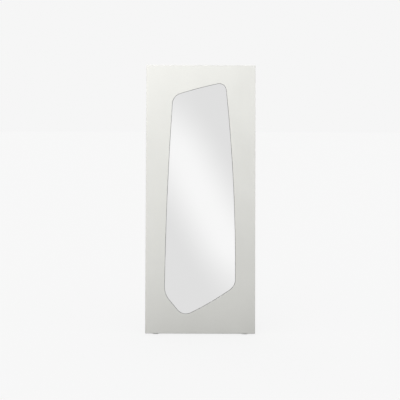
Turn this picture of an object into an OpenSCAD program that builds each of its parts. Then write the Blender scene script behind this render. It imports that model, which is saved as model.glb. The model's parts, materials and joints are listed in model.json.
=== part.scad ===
// Free-standing full-length mirror. A steel-skinned panel carries a free-form mirror set flush in
// its face, leans back a little, and is held up by a tube leg that folds out behind it.
// Frame: Z up, the floor is Z = 0, the mirror faces -Y, and X = 0 is the centre line.
// Left and right are as seen by somebody who looks into the mirror.

/* [Panel] */
// Width of the panel
panel_w = 787; // [660:1:1000]
// Height of the panel, measured along its face
panel_h = 1930; // [1600:1:2400]
// How far the panel leans back from upright, in degrees
lean = 7; // [4:0.5:9]
// Gap between the floor and the panel's lowest edge
floor_gap = 3; // [2:0.5:8]

/* [Steel skin] */
// Thickness of the sheet
skin_t = 1; // [0.8:0.1:1.5]
// Outer radius of the folds round the face
fold_r = 2; // [1.8:0.1:3]
// Width of the lip that is folded in behind the core
lip_w = 14; // [10:1:25]

/* [Core] */
// Thickness of the board that carries the mirror
base_board_t = 9; // [6:0.5:18]
// Depth of the timber frame behind the base board
timber_d = 20; // [15:1:40]
// Width of the stiles and of the top and bottom rails
timber_w = 45; // [35:1:60]
// Width of the rails behind the hinges and behind the stay track
cross_rail_w = 110; // [100:1:160]
// Thickness of the back cover
cover_t = 3; // [2:0.5:6]
// Gap between the back cover and the lip round it
cover_gap = 1; // [0.5:0.5:3]

/* [Mirror] */
// Thickness of the glass
glass_t = 5; // [3:0.5:8]
// How far the glass sits behind the face sheet's front
glass_setback = 0.5; // [0.2:0.1:1.5]
// Gap between the glass and the cut edge round it
glass_gap = 1.5; // [1:0.25:4]
// Thickness of the safety film on the back of the glass
film_t = 0.4; // [0.2:0.1:0.8]
// Thickness of the mounting tape
tape_t = 1.1; // [0.8:0.1:3]
// Width of one strip of mounting tape
tape_w = 19; // [12:1:30]

/* [Leg] */
// Outer diameter of the leg tube
tube_d = 22; // [18:1:28]
// Wall of the leg tube and of the crossbar
tube_wall = 1.5; // [1.2:0.1:2.5]
// Distance between the two legs' centre lines
leg_spread = 500; // [400:5:600]
// Radius of the bends at the foot of the leg, to the tube's centre line
bend_r = 60; // [50:5:80]
// Height of the hinge above the panel's bottom edge
hinge_height = 1300; // [1080:10:1560]
// Angle between the opened leg and the panel, in degrees
open_angle = 15; // [12:0.5:18]
// Gap between the back cover and the leg tube, when the leg is folded in
fold_gap = 7; // [6:0.5:14]

/* [Stay] */
// Distance from the hinge to the crossbar, and from the crossbar to the track pin
stay_arm = 450; // [370:5:540]
// Width of the stay bar
stay_w = 20; // [16:1:22]
// Thickness of the stay bar
stay_t = 5; // [4:0.5:8]
// Outer diameter of the crossbar
crossbar_d = 16; // [13:1:20]
// Length of the sleeve that turns on the crossbar
sleeve_len = 60; // [40:5:100]

/* [Hinge hardware] */
// Diameter of the pivot bolts' shoulders and of the track pin
pin_d = 8; // [6:0.5:10]
// Outer diameter of the pivot bushes
bush_d = 12; // [12:0.5:14]
// Radial clearance between a pin or a bar and what turns on it
running_gap = 0.05; // [0.02:0.01:0.1]
// Sheet thickness of the brackets
bracket_t = 3; // [2:0.5:4]

/* [Feet] */
// Length of a front foot along the panel's bottom edge
front_foot_len = 40; // [30:5:80]
// Distance from the panel's side edge to the front foot
front_foot_inset = 54; // [20:1:150]
// Thickness of a rear foot's rubber round the tube
rear_foot_wall = 4; // [3:0.5:5]
// Length of a rear foot along the tube
rear_foot_len = 46; // [30:1:60]
// Distance from the end of a rear foot to the tube's bend
rear_foot_inset = 12; // [5:1:60]

/* [Hanger rings] */
// Wire diameter of the rings
ring_wire = 4; // [3:0.5:5]
// Width of the rings between wire centres
ring_w = 28; // [24:1:40]
// Distance from a ring's hinge line to the lowest wire centre
ring_drop = 24; // [22:1:40]
// Distance of the rings' hinge line below the panel's top edge
ring_below_top = 290; // [120:5:400]

/* [Hidden] */
$fn = 64;
left = -1;
right = 1;

// Colours, as painted or bare
steel = [0.87, 0.87, 0.86];
silver = [0.88, 0.89, 0.90];
mdf = [0.62, 0.50, 0.37];
plywood = [0.78, 0.66, 0.48];
pine = [0.84, 0.71, 0.50];
hardboard = [0.10, 0.10, 0.11];
powder_coat = [0.08, 0.08, 0.09];
rubber = [0.09, 0.09, 0.09];
clear_rubber = [0.78, 0.79, 0.78];
zinc = [0.70, 0.71, 0.72];
nylon = [0.90, 0.89, 0.85];
white_tape = [0.93, 0.93, 0.92];
dull_film = [0.42, 0.45, 0.47];

// Depths into the panel, from the front of the face sheet (0) to the back
glass_y = glass_setback;
film_y = glass_y + glass_t;
tape_y = film_y + film_t;
face_board_y = skin_t;
base_board_y = tape_y + tape_t;
face_board_t = base_board_y - face_board_y;
timber_y = base_board_y + base_board_t;
cover_y = timber_y + timber_d;
skin_d = cover_y + skin_t;
back_y = cover_y + cover_t;
hinge_standoff = tube_d / 2 + fold_gap;
hinge_y = back_y + hinge_standoff;

// The core boards stop short of the folds' inner curves
board_inset = fold_r + 0.2;
core_w = panel_w - 2 * board_inset;
core_h = panel_h - 2 * board_inset;
rail_len = core_w - 2 * timber_w;

// Free-form opening: five corners, counter-clockwise from the lowest. Each has its distance from a
// side edge (left or right), its height from the bottom or its depth from the top, and its radius.
apex = [left, 291, "bottom", 219, 79];
corner_right = [right, 233, "bottom", 389, 92];
corner_top_right = [right, 260, "top", 183, 51];
corner_top_left = [left, 270, "top", 284, 83];
corner_left = [left, 285, "bottom", 335, 149];
corners = [apex, corner_right, corner_top_right, corner_top_left, corner_left];
// The edges between them bow outwards by these radii: lower right, right, top, left, lower left
edge_r = [2030, 12100, 2980, 24800, 6600];
corner_steps = 14;
edge_steps = 8;
fold_steps = 5;
// The face board's opening is this much larger, so that its edge doesn't show
board_relief = 1;
// The tape stays this far inside the glass's edge
tape_margin = 25;
tape_pitch = 95;

// Placement of the panel, the leg and the stay in the frame
front_edge_z = floor_gap + skin_d * sin(lean);
splay = open_angle - lean;
stay_lean = splay - 2 * open_angle;
rear_foot_h = tube_d / 2 + rear_foot_wall + 2;
rear_foot_r = tube_d / 2 + rear_foot_wall;
rear_foot_sole = 20;
rear_foot_x = leg_spread / 2 - bend_r - rear_foot_inset - rear_foot_len / 2;
front_foot_x = panel_w / 2 - front_foot_inset - front_foot_len / 2;
hinge_z = front_edge_z + hinge_height * cos(lean) - hinge_y * sin(lean);
leg_len = (hinge_z - rear_foot_h) / cos(splay);
hinge_from_front = hinge_y * cos(lean) + hinge_height * sin(lean);
foot_from_front = hinge_from_front + leg_len * sin(splay);
top_from_front = skin_d * cos(lean) + panel_h * sin(lean);
nearest = fold_r * (cos(lean) + sin(lean) - 1);
farthest = max(foot_from_front + rear_foot_r, top_from_front);
// The origin is midway between the nearest and the farthest point
front_edge_y = -(nearest + farthest) / 2;

// Hinge brackets
cheek_gap = tube_d / 2 + 1;
bush_end_gap = 0.2;
cheek_r = 12;
cheek_foot = 24;
bracket_w = 2 * cheek_gap + 30;
bracket_h = 76;
bracket_hole_x = cheek_gap + bracket_t + 6.5;
bracket_hole_z = 30;
tube_above_hinge = bush_d / 2 + 3;
plug_dome = 7;
plug_depth = 2.5;
bolt_head_d = 13;
bolt_head_h = 5;
bolt_socket = 7;
thread_d = pin_d - 2;
nut_af = thread_d + 4;
nut_h = thread_d;

// Stay and track
pin_travel = 2 * stay_arm * (1 - cos(open_angle));
pin_open_z = hinge_height - 2 * stay_arm * cos(open_angle);
pin_folded_z = hinge_height - 2 * stay_arm;
track_mid_z = (pin_open_z + pin_folded_z) / 2;
track_h = pin_travel + 62;
track_gap = 8;
track_w = 50;
track_top = hinge_standoff + 12;
track_hole_x = track_gap + bracket_t + 7;
track_hole_z = track_h / 2 - 9;
slot_gap = 0.1;
sleeve_wall = 3;
sleeve_r = crossbar_d / 2 + sleeve_wall;
collar_r = sleeve_r + 1.5;
collar_len = 10;
collar_gap = 0.4;
grub_d = 4;
pin_head_r = pin_d / 2 + 3;
pin_head_h = 2.5;
pin_end_gap = 0.5;
clip_t = 1;
clip_r = pin_d / 2 + 3;
glide_r = pin_d / 2 + 3;

// Screws of the brackets, hanger straps and back cover
screw_d = 4;
screw_head_r = 4;
screw_head_h = 2.4;
screw_len = 14;
cover_screw_d = 3;
cover_screw_head_r = 3.5;
cover_screw_head_h = 1.8;
cover_screw_len = 12;
cover_screws_high = 9;
cover_screws_wide = 3;
cover_screw_edge = 9;
recess_r = 1.6;
recess_depth = 1.1;
hole_gap = 0.1;

// Hanger straps and rings
strap_w = 16;
strap_t = 2;
strap_len = 66;
ring_standoff = 5;
loop_wall = 2.2;
ring_bend = 4;
strap_hole_1 = 38;
strap_hole_2 = 56;
// The straps are screwed to the stiles, beside the column of cover screws
strap_x = rail_len / 2 + strap_w / 2 + 1;

// Rests for the folded leg
rest_r = 9;
rest_gap = 0.4;
rest_z = 300;

// ---- Placing ----

// Panel coordinates: X across, Y from the face backwards, Z up along the panel from its bottom edge
module on_panel() {
    translate([0, front_edge_y, front_edge_z])
        rotate([-lean, 0, 0])
            children();
}

// Leg coordinates: origin on the hinge line, the leg runs down along -Z
module on_leg() {
    translate([0, front_edge_y + hinge_from_front, hinge_z])
        rotate([splay, 0, 0])
            children();
}

// Stay coordinates: origin on the crossbar's axis, the stay runs down along -Z
module on_stay() {
    translate([
        0,
        front_edge_y + hinge_from_front + stay_arm * sin(splay),
        hinge_z - stay_arm * cos(splay)
    ])
        rotate([stay_lean, 0, 0])
            children();
}

// A cylinder along X, centred on its length
module x_rod(r, length) {
    rotate([0, 90, 0])
        cylinder(r = r, h = length, center = true);
}

// A cylinder that runs from a face backwards, along +Y
module y_rod(r, length) {
    rotate([-90, 0, 0])
        cylinder(r = r, h = length);
}

// ---- Free-form opening ----

function unit(v) = v / norm(v);

function bearing(v) = atan2(v[1], v[0]);

function corner_centre(c) = [
    c[0] * (panel_w / 2 - c[1]),
    c[2] == "top" ? panel_h - c[3] : c[3]
];

// Centre of the arc of radius r that touches the circles at corners a and b from inside
function edge_centre(a, b, r) =
    let (
        ca = corner_centre(a),
        cb = corner_centre(b),
        span = norm(cb - ca),
        along = unit(cb - ca),
        inward = [-along[1], along[0]],
        ra = r - a[4],
        rb = r - b[4],
        x = (ra * ra - rb * rb + span * span) / (2 * span)
    )
    ca + x * along + sqrt(ra * ra - x * x) * inward;

edge_centres = [for (i = [0:4]) edge_centre(corners[i], corners[(i + 1) % 5], edge_r[i])];

// Points from angle a0 counter-clockwise to a1, on a circle
function arc(centre, r, a0, a1, steps) =
    let (sweep = a1 - a0 - 360 * floor((a1 - a0) / 360))
    [for (k = [0:steps]) centre + r * [cos(a0 + sweep * k / steps), sin(a0 + sweep * k / steps)]];

// The outline, drawn in by an inset
function outline(inset) = [
    for (i = [0:4])
        let (
            c = corner_centre(corners[i]),
            before = edge_centres[(i + 4) % 5],
            after = edge_centres[i],
            next = corner_centre(corners[(i + 1) % 5]),
            side = arc(after, edge_r[i] - inset, bearing(c - after), bearing(next - after), edge_steps)
        )
        for (
            p = concat(
                arc(c, corners[i][4] - inset, bearing(c - before), bearing(c - after), corner_steps),
                [for (k = [1:edge_steps - 1]) side[k]]
            )
        )
            p
];

// A flat piece of the outline, from depth y backwards
module shaped(inset, y, thickness) {
    translate([0, y + thickness, 0])
        rotate([90, 0, 0])
            linear_extrude(thickness)
                polygon(outline(inset));
}

// ---- Panel ----

// Half profile of the tray: a box with two round front corners
function tray_profile(width, depth, r) = concat(
    [[-width / 2, depth]],
    arc([-width / 2 + r, r], r, 180, 270, fold_steps),
    arc([width / 2 - r, r], r, 270, 360, fold_steps),
    [[width / 2, depth]]
);

// Solid envelope of the tray, drawn in by an inset on its sides and its face
module tray(inset, depth) {
    r = fold_r - inset;
    translate([0, inset, 0])
        intersection() {
            linear_extrude(panel_h - inset)
                polygon(tray_profile(panel_w - 2 * inset, depth, r));
            translate([-panel_w / 2 + inset, 0, panel_h / 2])
                rotate([90, 0, 90])
                    linear_extrude(panel_w - 2 * inset)
                        polygon([
                            for (p = tray_profile(panel_h - 2 * inset, depth, r)) [p[1], p[0]]
                        ]);
        }
}

module steel_skin() {
    color(steel)
        on_panel()
            difference() {
                tray(0, skin_d);
                tray(skin_t, skin_d - 2 * skin_t);
                shaped(0, -1, skin_t + 2);
                translate([-panel_w / 2 + lip_w, skin_d - 2 * skin_t, lip_w])
                    cube([panel_w - 2 * lip_w, 3 * skin_t, panel_h - 2 * lip_w]);
            }
}

// A board as large as the core
module core_board(y, thickness) {
    translate([-core_w / 2, y, board_inset])
        cube([core_w, thickness, core_h]);
}

module face_board() {
    color(mdf)
        on_panel()
            difference() {
                core_board(face_board_y, face_board_t);
                shaped(-board_relief, face_board_y - 1, face_board_t + 2);
            }
}

module mirror_glass() {
    color(silver)
        on_panel()
            shaped(glass_gap, glass_y, glass_t);
}

module safety_film() {
    color(dull_film)
        on_panel()
            shaped(glass_gap + 1, film_y, film_t);
}

module mirror_tape() {
    color(white_tape)
        on_panel()
            intersection() {
                shaped(tape_margin, tape_y, tape_t);
                for (i = [-1:1])
                    translate([i * tape_pitch - tape_w / 2, tape_y, 0])
                        cube([tape_w, tape_t, panel_h]);
            }
}

module base_board() {
    color(plywood)
        on_panel()
            core_board(base_board_y, base_board_t);
}

// Places along the stiles and rails where the back cover is screwed down
module cover_screw_places() {
    side_x = panel_w / 2 - lip_w - cover_gap - cover_screw_edge;
    end_z = lip_w + cover_gap + cover_screw_edge;
    pitch_z = (panel_h - 2 * end_z) / (cover_screws_high - 1);
    pitch_x = 2 * side_x / (cover_screws_wide + 1);
    for (s = [left, right])
        for (k = [0:cover_screws_high - 1])
            translate([s * side_x, back_y, end_z + k * pitch_z])
                children();
    for (z = [end_z, panel_h - end_z])
        for (k = [1:cover_screws_wide])
            translate([-side_x + k * pitch_x, back_y, z])
                children();
}

// Holes for the cover screws, from the back inwards
module cover_screw_holes() {
    cover_screw_places()
        translate([0, 1, 0])
            rotate([90, 0, 0])
                cylinder(r = cover_screw_d / 2 + hole_gap, h = cover_screw_len + 1.5);
}

module stile(side) {
    color(pine)
        on_panel()
            difference() {
                translate([side * (core_w - timber_w) / 2 - timber_w / 2, timber_y, board_inset])
                    cube([timber_w, timber_d, core_h]);
                cover_screw_holes();
                bracket_screw_holes();
            }
}

// A rail between the stiles, centred at height z
module rail(z, height) {
    color(pine)
        on_panel()
            difference() {
                translate([-rail_len / 2, timber_y, z - height / 2])
                    cube([rail_len, timber_d, height]);
                cover_screw_holes();
                bracket_screw_holes();
            }
}

module back_cover() {
    inset = lip_w + cover_gap;
    color(hardboard)
        on_panel()
            difference() {
                translate([-panel_w / 2 + inset, cover_y, inset])
                    cube([panel_w - 2 * inset, cover_t, panel_h - 2 * inset]);
                cover_screw_holes();
                bracket_screw_holes();
            }
}

// A pan-head screw whose head rests on a face at Y = 0, shank forwards
module pan_screw(d, length, head_r, head_h) {
    difference() {
        union() {
            rotate([90, 0, 0])
                cylinder(r = d / 2, h = length);
            y_rod(head_r, head_h * 0.45);
            translate([0, head_h * 0.45, 0])
                rotate([-90, 0, 0])
                    cylinder(r1 = head_r, r2 = head_r * 0.62, h = head_h * 0.55);
        }
        for (turn = [0, 90])
            rotate([0, turn, 0])
                translate([-recess_r, head_h - recess_depth, -0.35])
                    cube([2 * recess_r, recess_depth + 1, 0.7]);
    }
}

module cover_screws() {
    color(zinc)
        on_panel()
            cover_screw_places()
                pan_screw(cover_screw_d, cover_screw_len, cover_screw_head_r, cover_screw_head_h);
}

// ---- Hinge brackets and pivots, on the panel ----

// Where the bracket plates are screwed through the back cover into the rails
module hinge_bracket_places() {
    for (s = [left, right])
        for (x = [-bracket_hole_x, bracket_hole_x])
            for (z = [-bracket_hole_z, bracket_hole_z])
                translate([s * leg_spread / 2 + x, back_y, hinge_height + z])
                    children();
}

module stay_track_places() {
    for (x = [-track_hole_x, track_hole_x])
        for (z = [-track_hole_z, track_hole_z])
            translate([x, back_y, track_mid_z + z])
                children();
}

module strap_places() {
    for (s = [left, right])
        for (drop = [strap_hole_1, strap_hole_2])
            translate([s * strap_x, back_y, panel_h - ring_below_top - drop])
                children();
}

// Pilot holes of all bracket screws, from the back cover inwards
module bracket_screw_holes() {
    module pilot() {
        translate([0, 1, 0])
            rotate([90, 0, 0])
                cylinder(r = screw_d / 2 + hole_gap, h = screw_len + 1.5);
    }
    hinge_bracket_places()
        pilot();
    stay_track_places()
        pilot();
    strap_places()
        pilot();
}

// A bracket cheek in the YZ plane, centred on x, with its round end about the hinge line
module cheek(x, height) {
    translate([x - bracket_t / 2, 0, 0])
        rotate([90, 0, 90])
            linear_extrude(bracket_t)
                union() {
                    polygon([[0, -cheek_foot], [height, -cheek_r], [height, cheek_r], [0, cheek_foot]]);
                    translate([height, 0])
                        circle(r = cheek_r);
                }
}

module hinge_bracket(side) {
    color(zinc)
        on_panel()
            translate([side * leg_spread / 2, back_y, hinge_height])
                difference() {
                    union() {
                        translate([-bracket_w / 2, 0, -bracket_h / 2])
                            cube([bracket_w, bracket_t, bracket_h]);
                        for (s = [left, right])
                            cheek(s * (cheek_gap + bracket_t / 2), hinge_standoff);
                    }
                    translate([0, hinge_standoff, 0])
                        x_rod(pin_d / 2 + running_gap, bracket_w);
                    for (x = [-bracket_hole_x, bracket_hole_x])
                        for (z = [-bracket_hole_z, bracket_hole_z])
                            translate([x, -1, z])
                                y_rod(screw_d / 2 + hole_gap, bracket_t + 2);
                }
}

// Screws that stand on a bracket or strap of the given thickness
module bracket_screw(thickness) {
    translate([0, thickness, 0])
        pan_screw(screw_d, screw_len + thickness, screw_head_r, screw_head_h);
}

module hinge_bracket_screws() {
    color(zinc)
        on_panel()
            hinge_bracket_places()
                bracket_screw(bracket_t);
}

// Shoulder bolt: its head is outside the outer cheek, its thread runs through the nut inside
module pivot_bolt(side) {
    grip = cheek_gap + bracket_t;
    color(zinc)
        on_panel()
            translate([side * leg_spread / 2, hinge_y, hinge_height])
                difference() {
                    union() {
                        x_rod(pin_d / 2, 2 * grip);
                        translate([side * (grip + bolt_head_h / 2), 0, 0])
                            x_rod(bolt_head_d / 2, bolt_head_h);
                        translate([-side * (grip + (nut_h + 2) / 2), 0, 0])
                            x_rod(thread_d / 2, nut_h + 2);
                    }
                    translate([side * (grip + bolt_head_h), 0, 0])
                        rotate([0, 90, 0])
                            cylinder(r = bolt_socket / 2, h = 6, center = true, $fn = 6);
                }
}

module pivot_nut(side) {
    grip = cheek_gap + bracket_t;
    color(zinc)
        on_panel()
            translate([side * (leg_spread / 2 - grip - nut_h / 2), hinge_y, hinge_height])
                difference() {
                    rotate([0, 90, 0])
                        cylinder(r = nut_af / 2 / cos(30), h = nut_h, center = true, $fn = 6);
                    x_rod(thread_d / 2 + hole_gap, nut_h + 2);
                }
}

// ---- Stay track, on the panel ----

// Slotted cheek: the pin runs along it as the leg folds
module track_cheek(x) {
    translate([x - bracket_t / 2, 0, -track_h / 2])
        difference() {
            cube([bracket_t, track_top, track_h]);
            for (z = [0, track_h])
                translate([-1, track_top, z])
                    rotate([45, 0, 0])
                        translate([0, -7, -7])
                            cube([bracket_t + 2, 14, 14]);
        }
}

module stay_track() {
    slot_r = pin_d / 2 + slot_gap;
    color(zinc)
        on_panel()
            translate([0, back_y, track_mid_z])
                difference() {
                    union() {
                        translate([-track_w / 2, 0, -track_h / 2])
                            cube([track_w, bracket_t, track_h]);
                        for (s = [left, right])
                            track_cheek(s * (track_gap + bracket_t / 2));
                    }
                    for (z = [-pin_travel / 2, pin_travel / 2])
                        translate([0, hinge_standoff, z])
                            x_rod(slot_r, track_w);
                    translate([-track_w / 2, hinge_standoff - slot_r, -pin_travel / 2])
                        cube([track_w, 2 * slot_r, pin_travel]);
                    for (x = [-track_hole_x, track_hole_x])
                        for (z = [-track_hole_z, track_hole_z])
                            translate([x, -1, z])
                                y_rod(screw_d / 2 + hole_gap, bracket_t + 2);
                }
}

module stay_track_screws() {
    color(zinc)
        on_panel()
            stay_track_places()
                bracket_screw(bracket_t);
}

// ---- Hanger straps and rings ----

module strap(side) {
    loop_r = ring_wire / 2 + running_gap + loop_wall;
    color(zinc)
        on_panel()
            translate([side * strap_x, back_y, panel_h - ring_below_top])
                difference() {
                    union() {
                        translate([-strap_w / 2, 0, -strap_len])
                            cube([strap_w, strap_t, strap_len]);
                        translate([0, ring_standoff, 0])
                            x_rod(loop_r, strap_w);
                        translate([-strap_w / 2, 0, -loop_r * 0.8])
                            cube([strap_w, ring_standoff, loop_r * 0.8]);
                    }
                    translate([0, ring_standoff, 0])
                        x_rod(ring_wire / 2 + running_gap, strap_w + 2);
                    for (drop = [strap_hole_1, strap_hole_2])
                        translate([0, -1, -drop])
                            y_rod(screw_d / 2 + hole_gap, strap_t + 2);
                }
}

module strap_screws() {
    color(zinc)
        on_panel()
            strap_places()
                bracket_screw(strap_t);
}

// The ring hangs straight down from the loop, whatever the panel's lean
module ring(side) {
    wire_r = ring_wire / 2;
    half = ring_w / 2;
    bar = ring_w - 2 * ring_bend;
    side_len = ring_drop - half - ring_bend;
    color(zinc)
        on_panel()
            translate([side * strap_x, back_y + ring_standoff, panel_h - ring_below_top])
                rotate([lean, 0, 0])
                    union() {
                        x_rod(wire_r, bar);
                        for (s = [left, right]) {
                            translate([s * bar / 2, 0, -ring_bend])
                                rotate([90, s == left ? -90 : 0, 0])
                                    rotate_extrude(angle = 90)
                                        translate([ring_bend, 0])
                                            circle(r = wire_r);
                            translate([s * half, 0, -ring_bend - side_len])
                                cylinder(r = wire_r, h = side_len);
                        }
                        translate([0, 0, -ring_bend - side_len])
                            rotate([-90, 0, 0])
                                rotate_extrude(angle = 180)
                                    translate([half, 0])
                                        circle(r = wire_r);
                    }
}

// ---- Rests and front feet, on the panel ----

module leg_rest(side) {
    color(rubber)
        on_panel()
            translate([side * leg_spread / 2, back_y, rest_z])
                y_rod(rest_r, hinge_standoff - tube_d / 2 - rest_gap);
}

// Wedge under the bottom edge: its top lies on the panel, its sole on the floor
module front_foot(side) {
    near = skin_d / 2;
    far = skin_d - 2;
    function sole(y) = (y * sin(lean) - front_edge_z) / cos(lean);
    color(clear_rubber)
        on_panel()
            translate([side * front_foot_x - front_foot_len / 2, 0, 0])
                rotate([90, 0, 90])
                    linear_extrude(front_foot_len)
                        polygon([[near, sole(near)], [far, sole(far)], [far, 0], [near, 0]]);
}

// ---- Leg ----

// The U of the leg at a given radius: two legs, two bends and the bar along the floor
module leg_path(r, above) {
    straight = leg_len - bend_r;
    bar = leg_spread - 2 * bend_r;
    for (s = [left, right]) {
        translate([s * leg_spread / 2, 0, -straight])
            cylinder(r = r, h = straight + above);
        translate([s * bar / 2, 0, -straight])
            rotate([90, s == left ? 180 : 90, 0])
                rotate_extrude(angle = 90)
                    translate([bend_r, 0])
                        circle(r = r);
    }
    translate([0, 0, -leg_len])
        x_rod(r, bar);
}

module leg_tube() {
    color(powder_coat)
        on_leg()
            difference() {
                leg_path(tube_d / 2, tube_above_hinge);
                leg_path(tube_d / 2 - tube_wall, tube_above_hinge + 1);
                for (s = [left, right])
                    translate([s * leg_spread / 2, 0, 0])
                        x_rod(bush_d / 2, tube_d + 4);
            }
}

module crossbar() {
    r = crossbar_d / 2;
    color(powder_coat)
        on_leg()
            translate([0, 0, -stay_arm])
                difference() {
                    x_rod(r, leg_spread);
                    x_rod(r - tube_wall, leg_spread + 2);
                    for (s = [left, right])
                        translate([s * leg_spread / 2, 0, -tube_d])
                            cylinder(r = tube_d / 2, h = 2 * tube_d);
                }
}

// Domed plug in the tube's open end
module leg_plug(side) {
    bore_r = tube_d / 2 - tube_wall;
    dome_r = (pow(tube_d / 2, 2) + pow(plug_dome, 2)) / (2 * plug_dome);
    color(rubber)
        on_leg()
            translate([side * leg_spread / 2, 0, tube_above_hinge])
                union() {
                    intersection() {
                        cylinder(r = tube_d / 2, h = plug_dome);
                        translate([0, 0, plug_dome - dome_r])
                            sphere(r = dome_r);
                    }
                    translate([0, 0, -plug_depth])
                        cylinder(r = bore_r - hole_gap, h = plug_depth);
                }
}

module pivot_bush(side) {
    color(nylon)
        on_leg()
            translate([side * leg_spread / 2, 0, 0])
                difference() {
                    x_rod(bush_d / 2, 2 * (cheek_gap - bush_end_gap));
                    x_rod(pin_d / 2 + running_gap, 2 * cheek_gap + 2);
                }
}

// Clamped collar that keeps the stay's sleeve in the middle of the crossbar
module collar(side) {
    color(zinc)
        on_leg()
            translate([side * (sleeve_len / 2 + collar_gap + collar_len / 2), 0, -stay_arm])
                difference() {
                    x_rod(collar_r, collar_len);
                    x_rod(crossbar_d / 2, collar_len + 2);
                    rotate([-90, 0, 0])
                        cylinder(r = grub_d / 2, h = collar_r + 1);
                }
}

module collar_screws() {
    length = collar_r - crossbar_d / 2 - 0.6;
    color(zinc)
        on_leg()
            for (s = [left, right])
                translate([
                    s * (sleeve_len / 2 + collar_gap + collar_len / 2), crossbar_d / 2, -stay_arm
                ])
                    difference() {
                        y_rod(grub_d / 2, length);
                        translate([0, length - 1.6, 0])
                            rotate([-90, 0, 0])
                                cylinder(r = 1.15, h = 3, $fn = 6);
                    }
}

// Rubber foot stretched on the tube, with a flat sole on the floor
module rear_foot(side) {
    color(rubber)
        translate([side * rear_foot_x, front_edge_y + foot_from_front, rear_foot_h])
            difference() {
                union() {
                    x_rod(rear_foot_r, rear_foot_len);
                    translate([-rear_foot_len / 2, -rear_foot_sole / 2, -rear_foot_h])
                        cube([rear_foot_len, rear_foot_sole, rear_foot_h]);
                }
                x_rod(tube_d / 2, rear_foot_len + 2);
            }
}

// ---- Stay ----

module stay_bar() {
    color(zinc)
        on_stay()
            difference() {
                union() {
                    translate([-stay_t / 2, -stay_w / 2, -stay_arm])
                        cube([stay_t, stay_w, stay_arm]);
                    translate([0, 0, -stay_arm])
                        x_rod(stay_w / 2, stay_t);
                }
                x_rod(sleeve_r, stay_t + 2);
                translate([0, 0, -stay_arm])
                    x_rod(pin_d / 2, stay_t + 2);
            }
}

module stay_sleeve() {
    color(zinc)
        on_stay()
            difference() {
                x_rod(sleeve_r, sleeve_len);
                x_rod(crossbar_d / 2 + running_gap, sleeve_len + 2);
            }
}

pin_reach = track_gap + bracket_t + pin_end_gap;

module stay_pin() {
    color(zinc)
        on_stay()
            translate([0, 0, -stay_arm])
                difference() {
                    union() {
                        x_rod(pin_d / 2, 2 * (pin_reach + 2 * clip_t));
                        translate([-pin_reach - pin_head_h / 2, 0, 0])
                            x_rod(pin_head_r, pin_head_h);
                    }
                    translate([pin_reach + clip_t / 2, 0, 0])
                        difference() {
                            x_rod(pin_d, clip_t);
                            x_rod(pin_d / 2 - 1, clip_t + 1);
                        }
                }
}

module pin_glide(side) {
    length = track_gap - stay_t / 2 - 2 * bush_end_gap;
    color(nylon)
        on_stay()
            translate([side * (stay_t / 2 + bush_end_gap + length / 2), 0, -stay_arm])
                difference() {
                    x_rod(glide_r, length);
                    x_rod(pin_d / 2, length + 2);
                }
}

// Open retaining clip in the pin's groove
module pin_clip() {
    color(zinc)
        on_stay()
            translate([pin_reach + clip_t / 2, 0, -stay_arm])
                difference() {
                    x_rod(clip_r, clip_t);
                    x_rod(pin_d / 2 - 1, clip_t + 2);
                    translate([-clip_t, -2, 0])
                        cube([2 * clip_t, 4, clip_r + 1]);
                }
}

steel_skin();
face_board();
mirror_glass();
safety_film();
mirror_tape();
base_board();
stile(left);  // left_stile
stile(right);  // right_stile
rail(panel_h - board_inset - timber_w / 2, timber_w);  // top_rail
rail(board_inset + timber_w / 2, timber_w);  // bottom_rail
rail(hinge_height, cross_rail_w);  // hinge_rail
rail(track_mid_z, cross_rail_w);  // stay_rail
back_cover();
cover_screws();
hinge_bracket(left);  // left_hinge_bracket
hinge_bracket(right);  // right_hinge_bracket
hinge_bracket_screws();
pivot_bolt(left);  // left_pivot_bolt
pivot_bolt(right);  // right_pivot_bolt
pivot_nut(left);  // left_pivot_nut
pivot_nut(right);  // right_pivot_nut
stay_track();
stay_track_screws();
strap(left);  // left_strap
strap(right);  // right_strap
strap_screws();
leg_rest(left);  // left_leg_rest
leg_rest(right);  // right_leg_rest
front_foot(left);  // left_front_foot
front_foot(right);  // right_front_foot
leg_tube();
crossbar();
leg_plug(left);  // left_leg_plug
leg_plug(right);  // right_leg_plug
pivot_bush(left);  // left_pivot_bush
pivot_bush(right);  // right_pivot_bush
collar(left);  // left_collar
collar(right);  // right_collar
collar_screws();
rear_foot(left);  // left_rear_foot
rear_foot(right);  // right_rear_foot
stay_bar();
stay_sleeve();
stay_pin();
pin_glide(left);  // left_pin_glide
pin_glide(right);  // right_pin_glide
pin_clip();
ring(left);  // left_ring
ring(right);  // right_ring
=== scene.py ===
import json
from math import atan2, cos, radians, sin

import bpy
from mathutils import Matrix, Vector


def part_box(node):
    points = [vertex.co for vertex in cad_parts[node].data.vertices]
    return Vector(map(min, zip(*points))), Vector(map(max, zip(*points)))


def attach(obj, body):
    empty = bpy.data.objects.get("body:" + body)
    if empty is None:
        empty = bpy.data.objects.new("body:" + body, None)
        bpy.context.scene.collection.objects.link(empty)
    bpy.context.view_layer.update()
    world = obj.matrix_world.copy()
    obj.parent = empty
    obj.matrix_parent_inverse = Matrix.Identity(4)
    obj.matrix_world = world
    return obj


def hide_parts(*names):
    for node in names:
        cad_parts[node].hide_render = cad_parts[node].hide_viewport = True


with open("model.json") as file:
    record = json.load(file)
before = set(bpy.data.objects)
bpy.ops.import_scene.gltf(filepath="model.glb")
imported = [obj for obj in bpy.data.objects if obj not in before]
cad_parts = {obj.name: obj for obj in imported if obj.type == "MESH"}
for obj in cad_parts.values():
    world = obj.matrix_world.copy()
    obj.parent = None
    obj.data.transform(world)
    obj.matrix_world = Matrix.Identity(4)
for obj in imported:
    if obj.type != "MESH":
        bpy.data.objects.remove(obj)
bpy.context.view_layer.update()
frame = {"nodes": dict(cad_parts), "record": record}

MM = 0.001
LEFT, RIGHT = -1, 1
SIDES = {"left": LEFT, "right": RIGHT}

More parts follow.
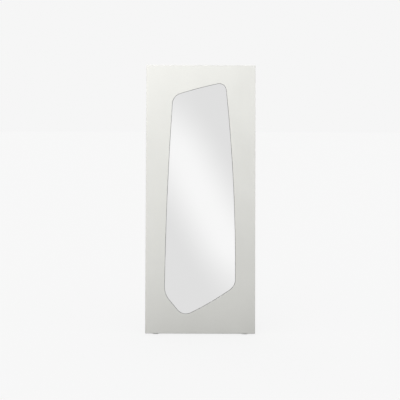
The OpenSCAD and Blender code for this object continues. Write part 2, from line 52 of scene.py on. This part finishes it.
# ---------------------------------------------------------------------------------------------
# Frames of the panel, the leg and the stay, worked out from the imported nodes
# ---------------------------------------------------------------------------------------------

LEAN = radians(7)
FOLD_R = 2 * MM  # outer radius of the folds round the face
LIP_W = 14 * MM  # width of the lips folded in behind the core
SLIT_W = 0.5 * MM  # width of the mitre slits at the lips' corners
SAME = 0.05 * MM  # two places closer than this count as one


def middle_of(node):
    """Centre of a node's box at rest."""
    low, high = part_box(node)
    return (low + high) / 2


def panel_frame():
    """X across, Y from the face backwards, Z up the panel from its bottom edge."""
    low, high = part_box("steel_skin")
    c, s = cos(LEAN), sin(LEAN)
    rise = (high.z - low.z - FOLD_R * (1 - s)) / c + FOLD_R
    depth = (high.y - low.y + FOLD_R * (c + s - 1) - s * rise) / (c - s * s / c)
    origin = Vector((0, low.y - FOLD_R * (c + s - 1), low.z + depth * s))
    return Matrix.Translation(origin) @ Matrix.Rotation(-LEAN, 4, "X")


def hanging_frame(top, bottom):
    """Origin at top, with -Z pointing at bottom. Both are on the centre plane."""
    down = bottom - top
    return Matrix.Translation((0, top.y, top.z)) @ Matrix.Rotation(atan2(down.y, -down.z), 4, "X")


PANEL = panel_frame()
LEG = hanging_frame(middle_of("left_pivot_bush"), middle_of("crossbar"))
STAY = hanging_frame(middle_of("stay_sleeve"), middle_of("left_pin_glide"))


def extent(node, place):
    """Lowest and highest corners of a CAD node in a frame's own coordinates."""
    back = place.inverted()
    points = [back @ v.co for v in frame["nodes"][node].data.vertices]
    return (
        Vector([min(p[i] for p in points) for i in range(3)]),
        Vector([max(p[i] for p in points) for i in range(3)]),
    )


# ---------------------------------------------------------------------------------------------
# Materials
# ---------------------------------------------------------------------------------------------


def from_hex(code):
    """A linear colour with alpha from an sRGB hex value."""
    channels = [int(code[i : i + 2], 16) / 255 for i in (1, 3, 5)]
    return tuple(c / 12.92 if c <= 0.04045 else ((c + 0.055) / 1.055) ** 2.4 for c in channels) + (1,)


def add_node(tree, kind, links=None, **settings):
    """Adds one node. settings are its properties; links gives an input a value or an output."""
    new = tree.nodes.new("ShaderNode" + kind)
    for key, value in settings.items():
        setattr(new, key, value)
    for key, value in (links or {}).items():
        if isinstance(value, bpy.types.NodeSocket):
            tree.links.new(value, new.inputs[key])
        else:
            new.inputs[key].default_value = value
    return new


def new_material(name):
    """An empty material and its node tree."""
    material = bpy.data.materials.new(name)
    material.use_nodes = True
    material.node_tree.nodes.clear()
    return material, material.node_tree


def surface(tree, shader):
    """Makes a shader the material's surface."""
    add_node(tree, "OutputMaterial", {"Surface": shader.outputs[0]})


def pattern_at(tree, size):
    """Object coordinates in the panel's own directions, divided by a pattern's size in metres."""
    where = add_node(tree, "TexCoord").outputs["Object"]
    turned = add_node(tree, "Mapping", {"Vector": where, "Rotation": (-LEAN, 0, 0)}, vector_type="POINT")
    return add_node(
        tree, "Mapping", {"Vector": turned.outputs[0], "Scale": [1 / s for s in size]}, vector_type="POINT"
    ).outputs[0]


def grain(tree, where, detail=3.0, rough=0.5, distort=0.0):
    """Noise with one cell a unit, as a value from 0 to 1."""
    return add_node(
        tree,
        "TexNoise",
        {"Vector": where, "Scale": 1.0, "Detail": detail, "Roughness": rough, "Distortion": distort},
    ).outputs["Fac"]


def between(tree, value, low, high, start=0.3, end=0.7):
    """A value spread from low to high as the pattern goes from start to end."""
    return add_node(
        tree,
        "MapRange",
        {"Value": value, "From Min": start, "From Max": end, "To Min": low, "To Max": high},
    ).outputs[0]


def blend_colours(tree, value, first, second):
    """Two sRGB colours mixed by a pattern's value."""
    ends = {"Factor": value, "A": from_hex(first), "B": from_hex(second)}
    return add_node(tree, "Mix", ends, data_type="RGBA").outputs["Result"]


def average(tree, first, second):
    """The mean of two patterns."""
    total = add_node(tree, "Math", {0: first, 1: second}, operation="ADD").outputs[0]
    return add_node(tree, "Math", {0: total, 1: 0.5}, operation="MULTIPLY").outputs[0]


def relief(tree, height, depth):
    """A bump whose depth is in metres."""
    return add_node(tree, "Bump", {"Height": height, "Distance": depth, "Strength": 1.0}).outputs[0]


def brushed_stainless():
    """Stainless sheet brushed along its length: fine upright strokes, a soft sheen, hardly warm."""
    material, tree = new_material("brushed_stainless")
    # Strokes are 0.1 mm wide on the sheet; they are drawn 0.8 mm wide so that they show
    strokes = grain(tree, pattern_at(tree, (0.8 * MM, 0.8 * MM, 160 * MM)), detail=4)
    cloud = grain(tree, pattern_at(tree, (180 * MM, 180 * MM, 420 * MM)), detail=2)
    tint = blend_colours(tree, between(tree, strokes, 0, 1), "#c4c4c0", "#cbcbc7")
    rough = add_node(
        tree,
        "Math",
        {0: between(tree, strokes, 0.30, 0.38), 1: between(tree, cloud, -0.02, 0.02)},
        operation="ADD",
    )
    shader = add_node(
        tree,
        "BsdfPrincipled",
        {
            "Base Color": tint,
            "Metallic": 1.0,
            "Roughness": rough.outputs[0],
            "Normal": relief(tree, strokes, 0.004 * MM),
        },
    )
    surface(tree, shader)
    return material


def silvered_glass():
    """Float glass silvered on its back: a clear, neutral reflection, very slightly uneven."""
    material, tree = new_material("silvered_glass")
    # Float glass has slow waves a few hundred millimetres long
    wave = grain(tree, pattern_at(tree, (300 * MM, 300 * MM, 300 * MM)), detail=1)
    tint = blend_colours(tree, wave, "#f9f9f9", "#fafafa")
    shader = add_node(
        tree,
        "BsdfPrincipled",
        {"Base Color": tint, "Metallic": 1.0, "Roughness": between(tree, wave, 0.004, 0.012)},
    )
    surface(tree, shader)
    return material


def polished_glass_edge():
    """Ground and polished edge of float glass: a dark grey line with a clean gloss."""
    material, tree = new_material("polished_glass_edge")
    haze = grain(tree, pattern_at(tree, (2 * MM, 2 * MM, 2 * MM)))
    shader = add_node(
        tree,
        "BsdfPrincipled",
        {
            "Base Color": blend_colours(tree, between(tree, haze, 0, 1), "#56595a", "#6d7172"),
            "Roughness": between(tree, haze, 0.06, 0.14),
            "IOR": 1.52,
        },
    )
    surface(tree, shader)
    return material


def speckled(name, dark, light, cell, rough, bump, metal=0.0, **sockets):
    """Ground of most finishes here: two close tones, an uneven gloss and a fine relief."""
    material, tree = new_material(name)
    fine = grain(tree, pattern_at(tree, (cell, cell, cell)), detail=4, rough=0.6)
    patch = 30 * cell
    broad = grain(tree, pattern_at(tree, (patch, patch, patch)), detail=2)
    both = average(tree, fine, broad)
    shader = add_node(
        tree,
        "BsdfPrincipled",
        {
            "Base Color": blend_colours(tree, between(tree, both, 0, 1), dark, light),
            "Metallic": metal,
            "Roughness": between(tree, both, rough[0], rough[1]),
            "Normal": relief(tree, fine, bump),
            **sockets,
        },
    )
    surface(tree, shader)
    return material


def zinc_plate():
    """Bright zinc on pressed steel: bluish grey with faint straw patches, slightly cloudy."""
    return speckled("zinc_plate", "#a9adb1", "#c3c1ba", 1.2 * MM, (0.24, 0.4), 0.01 * MM, metal=1.0)


def black_powder_coat():
    """Baked polyester powder: a fine orange peel of about 1 mm that breaks up the highlights."""
    return speckled("black_powder_coat", "#141516", "#1c1d1f", 1.0 * MM, (0.38, 0.5), 0.05 * MM, IOR=1.5)


def painted_hardboard():
    """Hardboard sprayed matt black: pressed fibres show through as a soft mottle."""
    material, tree = new_material("painted_hardboard")
    fibres = grain(tree, pattern_at(tree, (1.6 * MM, 1.6 * MM, 5 * MM)), detail=4, distort=0.6)
    mottle = grain(tree, pattern_at(tree, (90 * MM, 90 * MM, 140 * MM)), detail=4)
    both = average(tree, fibres, mottle)
    shader = add_node(
        tree,
        "BsdfPrincipled",
        {
            "Base Color": blend_colours(tree, between(tree, both, 0, 1), "#1a1918", "#2a2826"),
            "Roughness": between(tree, both, 0.52, 0.68),
            "Normal": relief(tree, fibres, 0.06 * MM),
            "IOR": 1.5,
        },
    )
    surface(tree, shader)
    return material


def black_rubber():
    """Moulded black rubber: dull, a little dusty, with a fine pitted skin."""
    return speckled("black_rubber", "#151515", "#222221", 0.8 * MM, (0.62, 0.82), 0.04 * MM, IOR=1.52)


def cloudy_rubber():
    """Clear bumper rubber: milky and soft, lighter where it is thin."""
    return speckled(
        "cloudy_rubber",
        "#e9ebe9",
        "#f4f5f3",
        1.5 * MM,
        (0.3, 0.42),
        0.01 * MM,
        IOR=1.43,
        **{"Transmission Weight": 0.15},
    )


def moulded_nylon():
    """Natural nylon: creamy, waxy, with a weak mould texture."""
    return speckled("moulded_nylon", "#ddd8ca", "#ebe7dc", 0.7 * MM, (0.38, 0.5), 0.01 * MM, IOR=1.53)


def painted_shade_fibreboard():
    """Fibreboard coloured near-black as painted shade, so that the gap round the glass reads as a thin
    dark line.
    """
    return speckled("painted_shade_fibreboard", "#101112", "#1e1f20", 0.9 * MM, (0.8, 0.95), 0.05 * MM, IOR=1.5)


def foam_tape():
    """White acrylic foam tape: open-pored and dull."""
    return speckled("foam_tape", "#e4e4e0", "#f3f3f0", 0.6 * MM, (0.75, 0.9), 0.05 * MM, IOR=1.45)


def safety_film():
    """Grey polyester film on the back of the mirror: smooth with a satin gloss."""
    return speckled("safety_film", "#62686b", "#73797b", 4 * MM, (0.35, 0.45), 0.005 * MM, IOR=1.6)


def grown_wood(name, early, late, ring, length, rough):
    """Sawn wood: bands across the grain, drawn out along it."""
    material, tree = new_material(name)
    where = pattern_at(tree, (ring, ring, length))
    bands = add_node(
        tree,
        "TexWave",
        {"Vector": where, "Scale": 0.5, "Distortion": 4.0, "Detail": 3.0, "Detail Scale": 1.2},
        wave_type="BANDS",
        bands_direction="X",
    ).outputs["Fac"]
    pores = grain(tree, pattern_at(tree, (0.6 * MM, 0.6 * MM, 14 * MM)), detail=4)
    both = average(tree, bands, pores)
    shader = add_node(
        tree,
        "BsdfPrincipled",
        {
            "Base Color": blend_colours(tree, both, early, late),
            "Roughness": between(tree, pores, rough, rough + 0.15),
            "Normal": relief(tree, pores, 0.05 * MM),
            "IOR": 1.5,
        },
    )
    surface(tree, shader)
    return material


finishes = {
    "steel": brushed_stainless(),
    "mirror": silvered_glass(),
    # The face board's near-black colour is painted shade in the gap round the glass
    "board": painted_shade_fibreboard(),
    "film": safety_film(),
    "tape": foam_tape(),
    # Poplar plywood: pale rotary-cut veneer with wide, faint figure
    "plywood": grown_wood("poplar_plywood", "#d9c39b", "#c4a878", 60 * MM, 500 * MM, 0.55),
    # Planed pine: honey-coloured, with darker late wood every few millimetres
    "pine": grown_wood("planed_pine", "#e0c08c", "#bf9257", 6 * MM, 300 * MM, 0.5),
    "back_board": painted_hardboard(),
    "zinc": zinc_plate(),
    "powder_coat": black_powder_coat(),
    "rubber": black_rubber(),
    "clear_rubber": cloudy_rubber(),
    "nylon": moulded_nylon(),
}
glass_edge = polished_glass_edge()
slot_of = {s["node"]: s["material_slot"] for s in frame["record"]["subparts"]}

# The plywood behind the opening gets the same near-black colour, as painted shade, so that the gap round
# the glass stays dark
painted_gap_shade = {"base_board": finishes["board"]}

for name, node in frame["nodes"].items():
    node.data.materials.clear()
    node.data.materials.append(painted_gap_shade.get(name, finishes[slot_of[name]]))

# ---------------------------------------------------------------------------------------------
# Modelling, as at the bench: one piece is active at a time
# ---------------------------------------------------------------------------------------------


def alone(piece=None):
    """Leaves only this piece selected and active."""
    if bpy.context.object and bpy.context.object.mode != "OBJECT":
        bpy.ops.object.mode_set(mode="OBJECT")
    bpy.ops.object.select_all(action="DESELECT")
    if piece:
        piece.select_set(True)
        bpy.context.view_layer.objects.active = piece


def choose(kind, test):
    """In edit mode, selects the active piece's edges or faces by their middle and direction."""
    piece = bpy.context.object
    bpy.ops.mesh.select_mode(type="EDGE" if kind == "edges" else "FACE")
    bpy.ops.mesh.select_all(action="DESELECT")
    bpy.ops.object.mode_set(mode="OBJECT")
    mesh = piece.data
    if kind == "edges":
        for edge in mesh.edges:
            a, b = (mesh.vertices[i].co for i in edge.vertices)
            edge.select = bool(test((a + b) / 2, b - a))
    else:
        for face in mesh.polygons:
            face.select = bool(test(face.center, face.normal))
    bpy.ops.object.mode_set(mode="EDIT")


def runs(direction, axis):
    """Whether an edge runs along an axis (0, 1 or 2)."""
    return abs(direction[axis]) > 0.999 * direction.length


def apply_modifier(piece, kind, **settings):
    """Adds a modifier to the active piece and applies it."""
    modifier = piece.modifiers.new(kind.lower(), kind)
    for key, value in settings.items():
        setattr(modifier, key, value)
    bpy.ops.object.modifier_apply(modifier=modifier.name)


def ease(piece, width, segments=2, angle=35):
    """Rounds what sharp edges are left and evens out the shading."""
    alone(piece)
    if width:
        apply_modifier(
            piece,
            "BEVEL",
            width=width,
            segments=segments,
            limit_method="ANGLE",
            angle_limit=radians(angle),
            use_clamp_overlap=True,
            miter_outer="MITER_ARC",
        )
        # Where roundings meet they can leave faces of no area
        bpy.ops.object.mode_set(mode="EDIT")
        bpy.ops.mesh.select_all(action="SELECT")
        bpy.ops.mesh.remove_doubles(threshold=0.001 * MM)
        bpy.ops.mesh.dissolve_degenerate(threshold=0.001 * MM)
        bpy.ops.object.mode_set(mode="OBJECT")
    bpy.ops.object.shade_smooth_by_angle(angle=radians(angle))
    apply_modifier(piece, "WEIGHTED_NORMAL", keep_sharp=True, weight=100)


def from_node(node, name, place):
    """A merged copy of a CAD node in its frame's own coordinates, ready to be shaped."""
    mesh = frame["nodes"][node].data.copy()
    mesh.transform(place.inverted())
    mesh.name = name
    piece = bpy.data.objects.new(name, mesh)
    bpy.context.scene.collection.objects.link(piece)
    alone(piece)
    bpy.ops.object.mode_set(mode="EDIT")
    bpy.ops.mesh.select_all(action="SELECT")
    bpy.ops.mesh.customdata_custom_splitnormals_clear()
    bpy.ops.mesh.remove_doubles(threshold=0.002 * MM)
    bpy.ops.mesh.dissolve_limited(angle_limit=radians(0.5))
    return piece


def hand_over(piece, node, place, body, finish=None):
    """Puts a finished piece in its place: it rides on a body and stands for a CAD node."""
    alone(piece)
    piece.data.transform(place)
    piece.data.materials.clear()
    piece.data.materials.append(finish or finishes[slot_of[node]])
    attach(piece, body)
    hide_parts(node)
    return piece


def brushed_skin():
    """Folded sheet: the edge of its cut-out is lightly broken, and its lips' corners are mitred."""
    low, high = extent("steel_skin", PANEL)
    piece = from_node("steel_skin", "brushed_skin", PANEL)
    margin = 30 * MM  # the cut-out stays further than this from the folds
    inside = lambda p: low.x + margin < p.x < high.x - margin and low.z + margin < p.z < high.z - margin
    choose("edges", lambda p, d: abs(p.y) < SAME and inside(p) and abs(d.y) < 1e-6)
    bpy.ops.mesh.bevel(offset=0.3 * MM, segments=2)
    bpy.ops.object.mode_set(mode="OBJECT")
    # A narrow slit is left open at each mitre, on the diagonal from the lip's inner corner outwards
    slit_len = (LIP_W - FOLD_R) * 2**0.5 + 2 * MM
    slit_depth = 1.2 * MM
    for x in (low.x, high.x):
        for z in (low.z, high.z):
            inward = Vector((RIGHT if x < 0 else LEFT, 0, 1 if z == low.z else -1))
            middle = Vector((x, high.y, z)) + inward * (LIP_W + FOLD_R) / 2
            alone()
            bpy.ops.mesh.primitive_cube_add(size=1, location=middle)
            slit = bpy.context.object
            slit.scale = (slit_len, slit_depth, SLIT_W)
            slit.rotation_euler = (0, -atan2(inward.z, inward.x), 0)
            bpy.ops.object.transform_apply(location=True, rotation=True, scale=True)
            alone(piece)
            apply_modifier(piece, "BOOLEAN", operation="DIFFERENCE", object=slit, solver="EXACT")
            bpy.data.objects.remove(slit, do_unlink=True)
    ease(piece, 0)
    hand_over(piece, "steel_skin", PANEL, "panel")


def silvered_mirror():
    """The glass with its flat-polished edge and a narrow arris all round its face."""
    low, high = extent("mirror_glass", PANEL)
    piece = from_node("mirror_glass", "silvered_mirror", PANEL)
    arris = 1.0 * MM
    choose("edges", lambda p, d: abs(p.y - low.y) < SAME and abs(d.y) < 1e-6)
    bpy.ops.mesh.bevel(offset=arris, segments=2)
    bpy.ops.object.mode_set(mode="OBJECT")
    piece.data.materials.clear()
    ease(piece, 0, angle=20)
    hand_over(piece, "mirror_glass", PANEL, "panel")
    piece.data.materials.append(glass_edge)
    face = PANEL.to_3x3() @ Vector((0, -1, 0))
    for polygon in piece.data.polygons:
        polygon.material_index = 0 if abs(polygon.normal.dot(face)) > 0.99 else 1


brushed_skin()
silvered_mirror()


def plain_copy(node, name, place, body, width, segments=2, shape=None, angle=35):
    """A node with eased edges, after an optional shaping step."""
    piece = from_node(node, name, place)
    if shape:
        shape()
    bpy.ops.object.mode_set(mode="OBJECT")
    ease(piece, width, segments, angle)
    hand_over(piece, node, place, body)


def round_plate(node, radius):
    """Shaping step: rounds the four corners of a plate that lies on the back cover."""
    low, high = extent(node, PANEL)

    def near_end(place, axis):
        return min(abs(place[axis] - low[axis]), abs(place[axis] - high[axis])) < 2 * SAME

    def shape():
        choose("edges", lambda p, d: runs(d, 1) and near_end(p, 0) and near_end(p, 2))
        bpy.ops.mesh.bevel(offset=radius, segments=6)

    return shape


PLATE_CORNER_R = 6 * MM

plain_copy("back_cover", "painted_back", PANEL, "panel", 0.5 * MM)
for side in SIDES:
    bracket = side + "_hinge_bracket"
    rounded = round_plate(bracket, PLATE_CORNER_R)
    plain_copy(bracket, side + "_hinge_plate", PANEL, "panel", 0.4 * MM, shape=rounded)
    plain_copy(side + "_pivot_bolt", side + "_shoulder_bolt", PANEL, "panel", 0.5 * MM)
    plain_copy(side + "_pivot_nut", side + "_lock_nut", PANEL, "panel", 0.5 * MM)
    plain_copy(side + "_strap", side + "_hanger_strap", PANEL, "panel", 0.3 * MM)
    plain_copy(side + "_leg_rest", side + "_buffer", PANEL, "panel", 1.5 * MM, 4)
    plain_copy(side + "_front_foot", side + "_wedge_foot", PANEL, "panel", 0.6 * MM, 3)
    plain_copy(side + "_leg_plug", side + "_tube_plug", LEG, "leg", 0.5 * MM, 3)
    plain_copy(side + "_pivot_bush", side + "_bush", LEG, "leg", 0.3 * MM)
    plain_copy(side + "_collar", side + "_clamp_collar", LEG, "leg", 0.6 * MM, 3)
    plain_copy(side + "_rear_foot", side + "_rubber_foot", LEG, "leg", 1.0 * MM, 2)
    plain_copy(side + "_pin_glide", side + "_glide_washer", STAY, "stay", 0.3 * MM)
    plain_copy(side + "_ring", side + "_wire_ring", PANEL, side + "_hanger", 0)
rounded = round_plate("stay_track", PLATE_CORNER_R)
plain_copy("stay_track", "slotted_track", PANEL, "panel", 0.4 * MM, shape=rounded)
plain_copy("leg_tube", "coated_leg", LEG, "leg", 0)
plain_copy("crossbar", "coated_crossbar", LEG, "leg", 0)
plain_copy("collar_screws", "collar_grub_screws", LEG, "leg", 0.15 * MM)
plain_copy("stay_bar", "flat_stay", STAY, "stay", 0.6 * MM)
plain_copy("stay_sleeve", "stay_barrel", STAY, "stay", 0.5 * MM)
plain_copy("stay_pin", "headed_pin", STAY, "stay", 0.3 * MM)
plain_copy("pin_clip", "spring_clip", STAY, "stay", 0.15 * MM)


def weld_bead(side):
    """Rippled fillet weld where the crossbar meets the leg, under the powder coat."""
    low, high = extent("crossbar", LEG)
    bar_r = (high.z - low.z) / 2
    plug_low, plug_high = extent(side + "_leg_plug", LEG)  # as wide as the leg tube
    tube_r = (plug_high.x - plug_low.x) / 2
    spread = abs(plug_low.x + plug_high.x) / 2
    rings = 72
    ripple = 3  # one ring in three stands proud
    ring_turn = radians(360 / rings)
    alone()
    bpy.ops.mesh.primitive_torus_add(
        location=(0, 0, 0),
        rotation=(0, radians(90), 0),
        major_radius=bar_r + 0.6 * MM,
        minor_radius=1.6 * MM,
        major_segments=rings,
        minor_segments=10,
    )
    piece = bpy.context.object
    piece.name = piece.data.name = side + "_weld_bead"
    bpy.ops.object.transform_apply(location=True, rotation=True, scale=True)
    bpy.ops.object.mode_set(mode="EDIT")
    for step in range(0, rings, ripple):
        way = Vector((0, cos(step * ring_turn), sin(step * ring_turn)))
        choose("faces", lambda p, n: Vector((0, p.y, p.z)).normalized().dot(way) > cos(radians(3)))
        bpy.ops.transform.resize(value=(1.12, 1.02, 1.02), center_override=way * bar_r)
    bpy.ops.object.mode_set(mode="OBJECT")
    # The bead follows the round of the leg tube, and is moved down to the crossbar
    middle_z = (low.z + high.z) / 2
    for vertex in piece.data.vertices:
        reach = max(tube_r**2 - vertex.co.y**2, 0) ** 0.5
        vertex.co.x = SIDES[side] * (spread - reach) + vertex.co.x
        vertex.co.z += middle_z
    ease(piece, 0, angle=60)
    piece.data.transform(LEG)
    piece.data.materials.clear()
    piece.data.materials.append(finishes["powder_coat"])
    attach(piece, "leg")


for side in SIDES:
    weld_bead(side)


def screw_places(node):
    """The centres of a node's screw heads, at their tops and in the panel's frame, and their length."""
    piece = from_node(node, "pattern_of_screws", PANEL)
    bpy.ops.mesh.select_all(action="SELECT")
    bpy.ops.mesh.separate(type="LOOSE")
    bpy.ops.object.mode_set(mode="OBJECT")
    places = []
    for part in list(bpy.context.selected_objects):
        corners = [Vector(c) for c in part.bound_box]
        low = Vector([min(c[i] for c in corners) for i in range(3)])
        high = Vector([max(c[i] for c in corners) for i in range(3)])
        places.append(Vector(((low.x + high.x) / 2, high.y, (low.z + high.z) / 2)))
        bpy.data.objects.remove(part, do_unlink=True)
    return places, high.y - low.y


def pan_screws(node, name, head_r, head_h, shank_r):
    """Pan-head screws with a cross recess, one for each screw of the CAD node."""
    places, length = screw_places(node)
    alone()
    below = (0, 0, -head_h / 2)
    bpy.ops.mesh.primitive_cylinder_add(vertices=28, radius=head_r, depth=head_h, location=below)
    screw = bpy.context.object
    bpy.ops.object.transform_apply(location=True, rotation=True, scale=True)
    bpy.ops.object.mode_set(mode="EDIT")
    # The top is domed by a wide bevel, and the shank is drawn out of the underside
    choose("edges", lambda p, d: abs(p.z) < 1e-6)
    bpy.ops.mesh.bevel(offset=head_h * 0.75, segments=4, clamp_overlap=True)
    choose("faces", lambda p, n: n.z < -0.9)
    bpy.ops.mesh.inset(thickness=head_r - shank_r)
    bpy.ops.mesh.extrude_region_move(TRANSFORM_OT_translate={"value": (0, 0, -(length - head_h))})
    bpy.ops.object.mode_set(mode="OBJECT")
    recess = (0, 0, -0.1 * head_h)
    for turn in (0, 90):
        alone()
        bpy.ops.mesh.primitive_cube_add(size=1, location=recess, rotation=(0, 0, radians(turn)))
        cutter = bpy.context.object
        cutter.scale = (head_r, 0.17 * head_r, head_h)
        bpy.ops.object.transform_apply(location=True, rotation=True, scale=True)
        bpy.ops.object.mode_set(mode="EDIT")
        # The recess narrows towards its bottom
        choose("faces", lambda p, n: n.z < -0.9)
        bpy.ops.transform.resize(value=(0.45, 0.45, 1))
        bpy.ops.object.mode_set(mode="OBJECT")
        alone(screw)
        apply_modifier(screw, "BOOLEAN", operation="DIFFERENCE", object=cutter, solver="EXACT")
        bpy.data.objects.remove(cutter, do_unlink=True)
    ease(screw, 0, angle=40)
    facing_back = Matrix.Rotation(radians(-90), 4, "X")
    uneven_turn = radians(37)  # no two screws in a row are left with their crosses in line
    copies = []
    for index, place in enumerate(places):
        copy = bpy.data.objects.new(name, screw.data.copy())
        spin = Matrix.Rotation(index * uneven_turn, 4, "Z")
        copy.data.transform(Matrix.Translation(place) @ facing_back @ spin)
        bpy.context.scene.collection.objects.link(copy)
        copies.append(copy)
    bpy.data.objects.remove(screw, do_unlink=True)
    alone(copies[0])
    for copy in copies:
        copy.select_set(True)
    bpy.ops.object.join()
    piece = bpy.context.object
    piece.name = name
    hand_over(piece, node, PANEL, "panel")


pan_screws("cover_screws", "cover_pan_screws", 3.5 * MM, 1.8 * MM, 1.5 * MM)
pan_screws("hinge_bracket_screws", "hinge_pan_screws", 4 * MM, 2.4 * MM, 2 * MM)
pan_screws("stay_track_screws", "track_pan_screws", 4 * MM, 2.4 * MM, 2 * MM)
pan_screws("strap_screws", "strap_pan_screws", 4 * MM, 2.4 * MM, 2 * MM)

# ---------------------------------------------------------------------------------------------
# Studio: sky, lights, floor, camera
# ---------------------------------------------------------------------------------------------

# Brightness of what the camera sees directly
BACKDROP = 0.921
FLOOR_GLOW = 0.828
# Brightness of what only reflections and fill see
ROOM_GREY = 0.78
STRIP_GREY = 0.975
OVERHEAD = 1.5
ON_LEFT = 1.45
NEAR_FLOOR = 0.26
FAR_FLOOR = 0.70
# The strip of light lies along the great circle square to this direction, moved by the shift
STRIP_ACROSS = (0.882, 0.0786, 0.469)
STRIP_SHIFT = 0.0026
# Ranges of a direction's Z or X, or of the distance across the strip, over which light rises or falls
STRIP_FALL = (0.002, 0.038)
STRIP_ENDS = (0.05, 0.12), (0.19, 0.26)
OVERHEAD_Z = (0.27, 0.36), (0.6, 0.95)
ON_LEFT_X = (-0.05, -0.25), (-0.32, -0.5)
# The floor goes from its near to its far brightness between these distances, in metres
FLOOR_FADE = (1.0, 4.5)
FLOOR_R = 40

scene = bpy.context.scene
scene.view_settings.view_transform = "Standard"


def ramp(tree, value, start, end, low, high):
    """A soft step from low to high."""
    return add_node(
        tree,
        "MapRange",
        {"Value": value, "From Min": start, "From Max": end, "To Min": low, "To Max": high},
        interpolation_type="SMOOTHSTEP",
    ).outputs[0]


def soft_panel(tree, value, rise, fall, strength):
    """Light that comes in over one range of a direction and goes out over another."""
    comes = ramp(tree, value, *rise, 0.0, strength)
    goes = ramp(tree, value, *fall, 1.0, 0.0)
    return add_node(tree, "Math", {0: comes, 1: goes}, operation="MULTIPLY").outputs[0]


def studio_world():
    """Plain bright backdrop for the camera, and soft panels that only reflections and fill see."""
    world = bpy.data.worlds.new("studio")
    scene.world = world
    world.use_nodes = True
    tree = world.node_tree
    tree.nodes.clear()
    way = add_node(tree, "TexCoord").outputs["Generated"]
    apart = add_node(tree, "SeparateXYZ", {0: way}).outputs
    # A narrow slanting strip of light in front of the mirror, over the room's even grey
    across = add_node(tree, "VectorMath", {0: way, 1: STRIP_ACROSS}, operation="DOT_PRODUCT")
    shifted = add_node(tree, "Math", {0: across.outputs["Value"], 1: STRIP_SHIFT}, operation="ADD")
    off = add_node(tree, "Math", {0: shifted.outputs[0]}, operation="ABSOLUTE").outputs[0]
    whole = soft_panel(tree, apart["Z"], *STRIP_ENDS, STRIP_GREY - ROOM_GREY)
    slim = ramp(tree, off, *STRIP_FALL, 1.0, 0.0)
    glint = add_node(tree, "Math", {0: whole, 1: slim}, operation="MULTIPLY").outputs[0]
    strip = add_node(tree, "Math", {0: glint, 1: ROOM_GREY}, operation="ADD").outputs[0]
    overhead = soft_panel(tree, apart["Z"], *OVERHEAD_Z, OVERHEAD)
    on_left = soft_panel(tree, apart["X"], *ON_LEFT_X, ON_LEFT)
    lamps = add_node(tree, "Math", {0: overhead, 1: on_left}, operation="ADD").outputs[0]
    total = add_node(tree, "Math", {0: strip, 1: lamps}, operation="ADD").outputs[0]
    lit = add_node(tree, "Background", {"Color": (1, 1, 1, 1), "Strength": total})
    plain = add_node(tree, "Background", {"Color": (BACKDROP, BACKDROP, BACKDROP, 1), "Strength": 1.0})
    seen = add_node(tree, "LightPath").outputs["Is Camera Ray"]
    both = add_node(tree, "MixShader", {"Fac": seen, 1: lit.outputs[0], 2: plain.outputs[0]})
    add_node(tree, "OutputWorld", {"Surface": both.outputs[0]})


studio_world()


def pale_floor():
    """Pale sweep: as bright as the backdrop to the camera, and duller in reflections near the mirror."""
    alone()
    bpy.ops.mesh.primitive_circle_add(vertices=96, radius=FLOOR_R, fill_type="NGON", location=(0, 0, 0))
    floor = bpy.context.object
    floor.name = "floor"
    material, tree = new_material("pale_floor")
    paint = add_node(tree, "BsdfDiffuse", {"Color": (0.06, 0.06, 0.06, 1)})
    spot = add_node(tree, "TexCoord").outputs["Object"]
    away = add_node(tree, "VectorMath", {0: spot}, operation="LENGTH").outputs["Value"]
    thrown = ramp(tree, away, *FLOOR_FADE, NEAR_FLOOR, FAR_FLOOR)
    seen = add_node(tree, "LightPath").outputs["Is Camera Ray"]
    strength = add_node(tree, "Mix", {"Factor": seen, "A": thrown, "B": FLOOR_GLOW}).outputs["Result"]
    glow = add_node(tree, "Emission", {"Color": (1, 1, 1, 1), "Strength": strength})
    both = add_node(tree, "AddShader", {0: paint.outputs[0], 1: glow.outputs[0]})
    surface(tree, both)
    floor.data.materials.append(material)


pale_floor()

LENS = 112.5
DISTANCE = 9.0
ELEVATION = radians(5.19)  # how far the camera looks down
ROLL = radians(0.185)
# The camera aims a little to the left of the panel's middle, and below it
AIM_OFFSET = Vector((-3.8, 0, -7.3)) * MM
camera_data = bpy.data.cameras.new("camera")
camera_data.lens = LENS
camera = bpy.data.objects.new("camera", camera_data)
scene.collection.objects.link(camera)
toward = Vector((0, cos(ELEVATION), -sin(ELEVATION)))
turn = toward.to_track_quat("-Z", "Y").to_matrix().to_4x4()
camera.matrix_world = (
    Matrix.Translation(middle_of("steel_skin") + AIM_OFFSET - DISTANCE * toward)
    @ turn
    @ Matrix.Rotation(ROLL, 4, "Z")
)
scene.camera = camera
